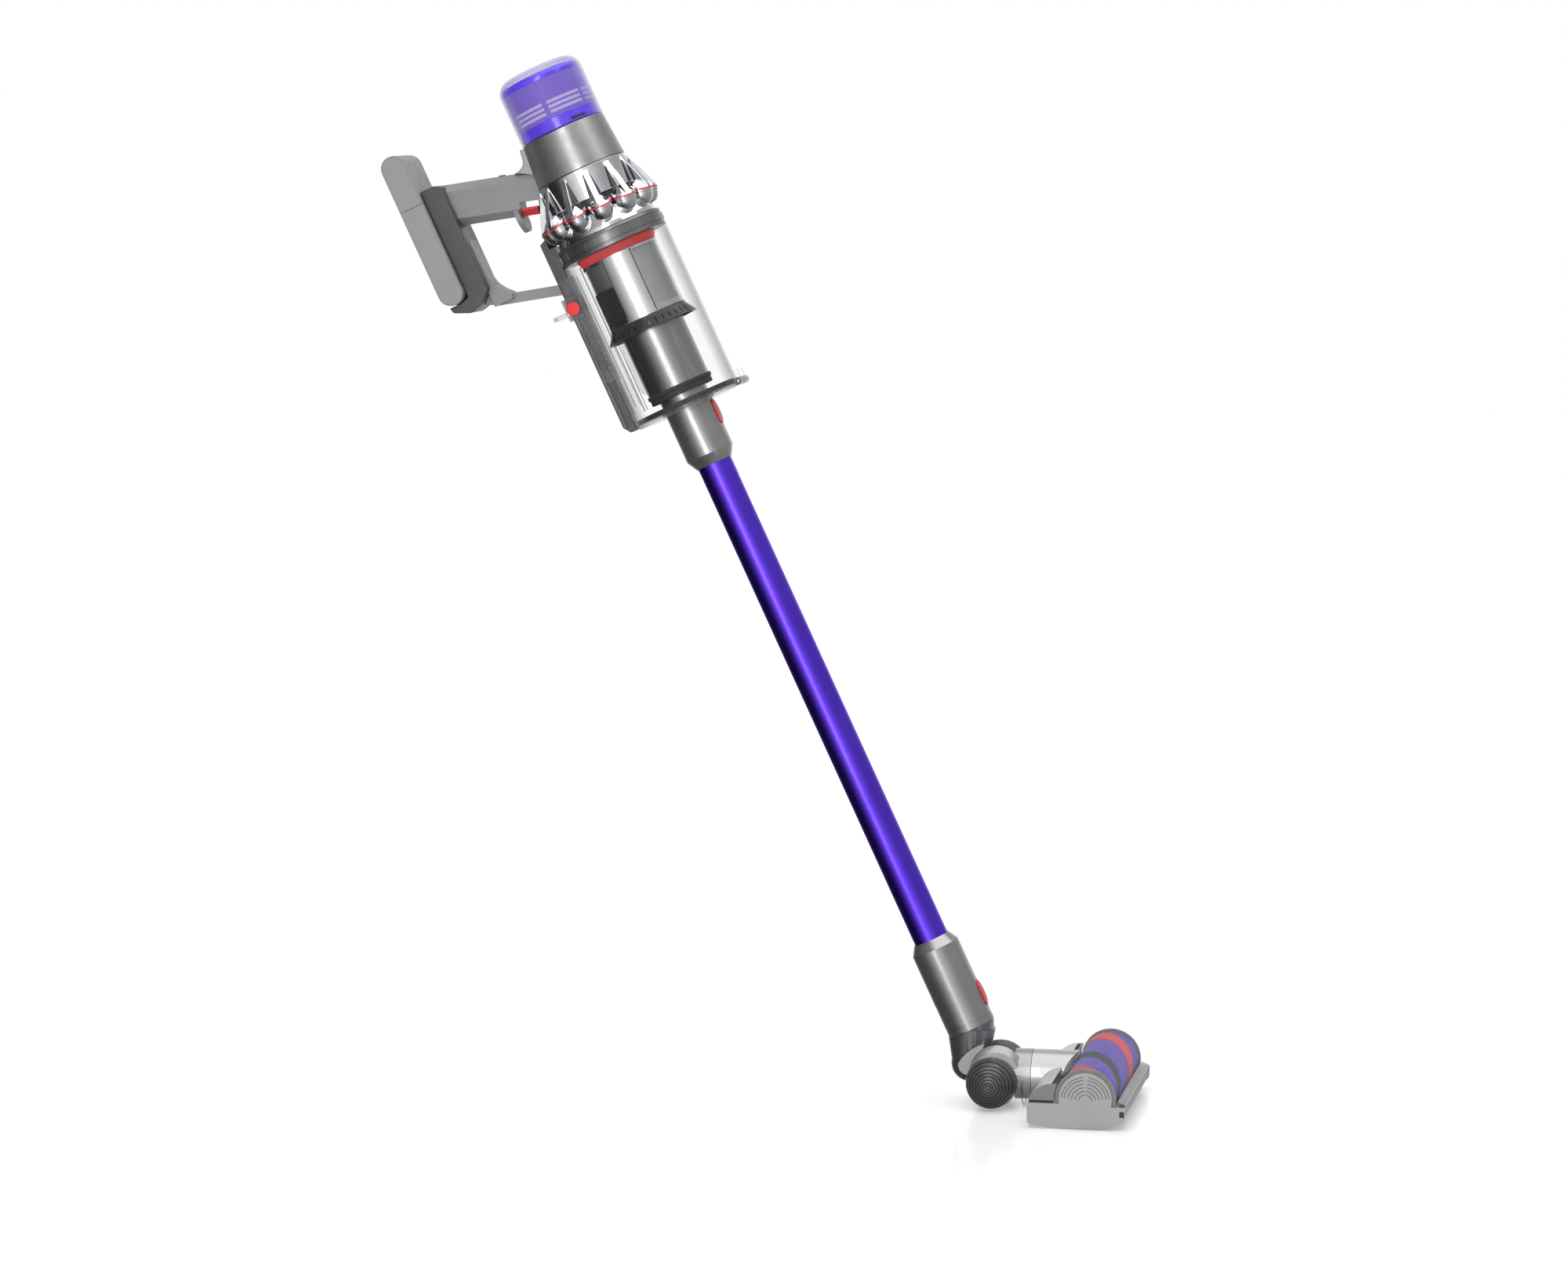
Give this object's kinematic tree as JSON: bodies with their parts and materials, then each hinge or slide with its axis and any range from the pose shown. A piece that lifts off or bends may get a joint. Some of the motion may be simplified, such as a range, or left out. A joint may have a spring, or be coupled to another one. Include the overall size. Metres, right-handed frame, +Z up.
{
  "type": "upright stick vacuum cleaner",
  "caption": "Cordless stick vacuum cleaner with a clear cyclone bin, leaning wand, ball-jointed neck and soft-roller floor head.",
  "frame": {"origin": "on the floor, below the middle of the whole object", "axes": "+X towards the front of the floor head, +Y to the left of a person pushing it, +Z up"},
  "size_m": [0.8459, 0.25, 1.1583],
  "materials": {
    "satin_grey_plastic": "satin moulded plastic with a fine eggshell texture",
    "dark_grey_plastic": "satin dark grey moulded plastic",
    "pale_grey_plastic": "satin pale grey moulded plastic",
    "chrome_plate": "bright plated plastic",
    "clear_plastic": "clear gloss moulded plastic",
    "violet_anodised": "satin anodised",
    "violet_plastic": "satin moulded plastic",
    "filter_fabric": "pleated filter cloth",
    "red_plastic": "satin gloss moulded plastic",
    "black_rubber": "matte",
    "bright_metal": "bright satin sheet",
    "steel": "turned steel",
    "copper_winding": "lacquered copper wire",
    "board_green": "lacquered circuit board",
    "cell_wrap": "shrink wrapped",
    "violet_pile": "soft woven nylon pile",
    "red_bristle": "stiff nylon bristles",
    "dark_bristle": "fine conductive filaments"
  },
  "bodies": {
    "main_body": {"motor_housing": "dark_grey_plastic", "motor_bucket": "dark_grey_plastic", "motor_stator": "copper_winding", "motor_bearings": "steel", "cyclone_manifold": "chrome_plate", "cyclone_gasket": "red_plastic", "cyclone_domes": "chrome_plate", "cyclone_cones": "dark_grey_plastic", "bin_collar": "dark_grey_plastic", "shroud_band": "red_plastic", "shroud": "bright_metal", "shroud_mesh": "bright_metal", "shroud_skirt": "dark_grey_plastic", "dust_cylinder": "satin_grey_plastic", "dust_fin": "clear_plastic", "inlet_seal": "black_rubber", "inlet_collar": "satin_grey_plastic", "bin_runner": "dark_grey_plastic", "grip_bar": "satin_grey_plastic", "finger_guard": "satin_grey_plastic", "battery_shoe": "dark_grey_plastic", "handle_strut": "satin_grey_plastic", "battery_case": "satin_grey_plastic", "battery_cells": "cell_wrap", "charge_socket": "dark_grey_plastic", "case_screws": "steel", "control_board": "board_green", "wand_upper_collar": "satin_grey_plastic", "wand_tube": "violet_anodised", "wand_lower_collar": "satin_grey_plastic", "neck_connector": "satin_grey_plastic", "elbow_tube": "satin_grey_plastic"},
    "filter": {"filter_cap": "clear_plastic", "filter_media": "filter_fabric", "filter_frame": "violet_plastic"},
    "rotor": {"motor_rotor": "steel", "impeller": "dark_grey_plastic"},
    "trigger": {"trigger": "red_plastic"},
    "mode_button": {"mode_button": "dark_grey_plastic"},
    "bin": {"bin_shell": "clear_plastic", "bin_guides": "clear_plastic", "door_pin": "steel"},
    "bin_lever": {"bin_lever": "red_plastic"},
    "bin_door": {"bin_door": "clear_plastic", "door_seal": "black_rubber"},
    "release_upper": {"release_button_upper": "red_plastic"},
    "release_lower": {"release_button_lower": "red_plastic"},
    "neck": {"yoke": "pale_grey_plastic", "wheel_axle": "steel"},
    "wheel_left": {"wheel_left": "dark_grey_plastic"},
    "wheel_right": {"wheel_right": "dark_grey_plastic"},
    "head": {"head_frame": "dark_grey_plastic", "end_caps": "dark_grey_plastic", "clear_cover": "clear_plastic", "brush_motor": "steel"},
    "sole_wheels": {"sole_wheels": "black_rubber"},
    "brush_roller": {"brush_core": "dark_grey_plastic", "brush_pile": "violet_pile", "brush_bristles": "red_bristle", "brush_dark_strip": "dark_bristle"}
  },
  "joints": [
    {"name": "trigger_pull", "type": "slide", "parent": "main_body", "child": "trigger", "axis": [-0.1564, 0, 0.9877], "range_m": [0, 0.006], "stiffness_N_per_m": 300, "springref_m": -0.002},
    {"name": "mode_button_press", "type": "slide", "parent": "main_body", "child": "mode_button", "axis": [0.1564, 0, -0.9877], "range_m": [0, 0.001], "stiffness_N_per_m": 400, "springref_m": -0.001},
    {"name": "filter_twist", "type": "hinge", "parent": "main_body", "child": "filter", "pos_m": [-0.2289, 0, 1.08435], "axis": [-0.4226, 0, 0.9063], "range_deg": [0, 35]},
    {"name": "motor_spin", "type": "hinge", "parent": "main_body", "child": "rotor", "pos_m": [-0.22045, 0, 1.06622], "axis": [-0.4226, 0, 0.9063], "continuous": true},
    {"name": "bin_slide", "type": "slide", "parent": "main_body", "child": "bin", "axis": [0.4226, 0, -0.9063], "range_m": [0, 0.06]},
    {"name": "bin_lever_push", "type": "slide", "parent": "bin", "child": "bin_lever", "axis": [0.4226, 0, -0.9063], "range_m": [0, 0.01], "stiffness_N_per_m": 250, "springref_m": -0.003},
    {"name": "bin_door_swing", "type": "hinge", "parent": "bin", "child": "bin_door", "pos_m": [-0.02367, 0, 0.80159], "axis": [0, -1, 0], "range_deg": [0, 11]},
    {"name": "upper_release_press", "type": "slide", "parent": "main_body", "child": "release_upper", "axis": [-0.9063, 0, -0.4226], "range_m": [0, 0.0025], "stiffness_N_per_m": 500, "springref_m": -0.001},
    {"name": "lower_release_press", "type": "slide", "parent": "main_body", "child": "release_lower", "axis": [-0.9063, 0, -0.4226], "range_m": [0, 0.0025], "stiffness_N_per_m": 500, "springref_m": -0.001},
    {"name": "neck_pitch", "type": "hinge", "parent": "main_body", "child": "neck", "pos_m": [0.26345, 0, 0.0285], "axis": [0, 1, 0], "range_deg": [-28, 40]},
    {"name": "wheel_left_spin", "type": "hinge", "parent": "neck", "child": "wheel_left", "pos_m": [0.26345, 0.04, 0.0285], "axis": [0, 1, 0], "continuous": true},
    {"name": "wheel_right_spin", "type": "hinge", "parent": "neck", "child": "wheel_right", "pos_m": [0.26345, -0.04, 0.0285], "axis": [0, 1, 0], "continuous": true},
    {"name": "head_swivel", "type": "hinge", "parent": "neck", "child": "head", "pos_m": [0.31345, 0, 0.035], "axis": [1, 0, 0], "range_deg": [-60, 60]},
    {"name": "sole_wheels_spin", "type": "hinge", "parent": "head", "child": "sole_wheels", "pos_m": [0.32895, 0, 0.0055], "axis": [0, 1, 0], "continuous": true},
    {"name": "brush_spin", "type": "hinge", "parent": "head", "child": "brush_roller", "pos_m": [0.37945, 0, 0.0319], "axis": [0, 1, 0], "continuous": true}
  ]
}
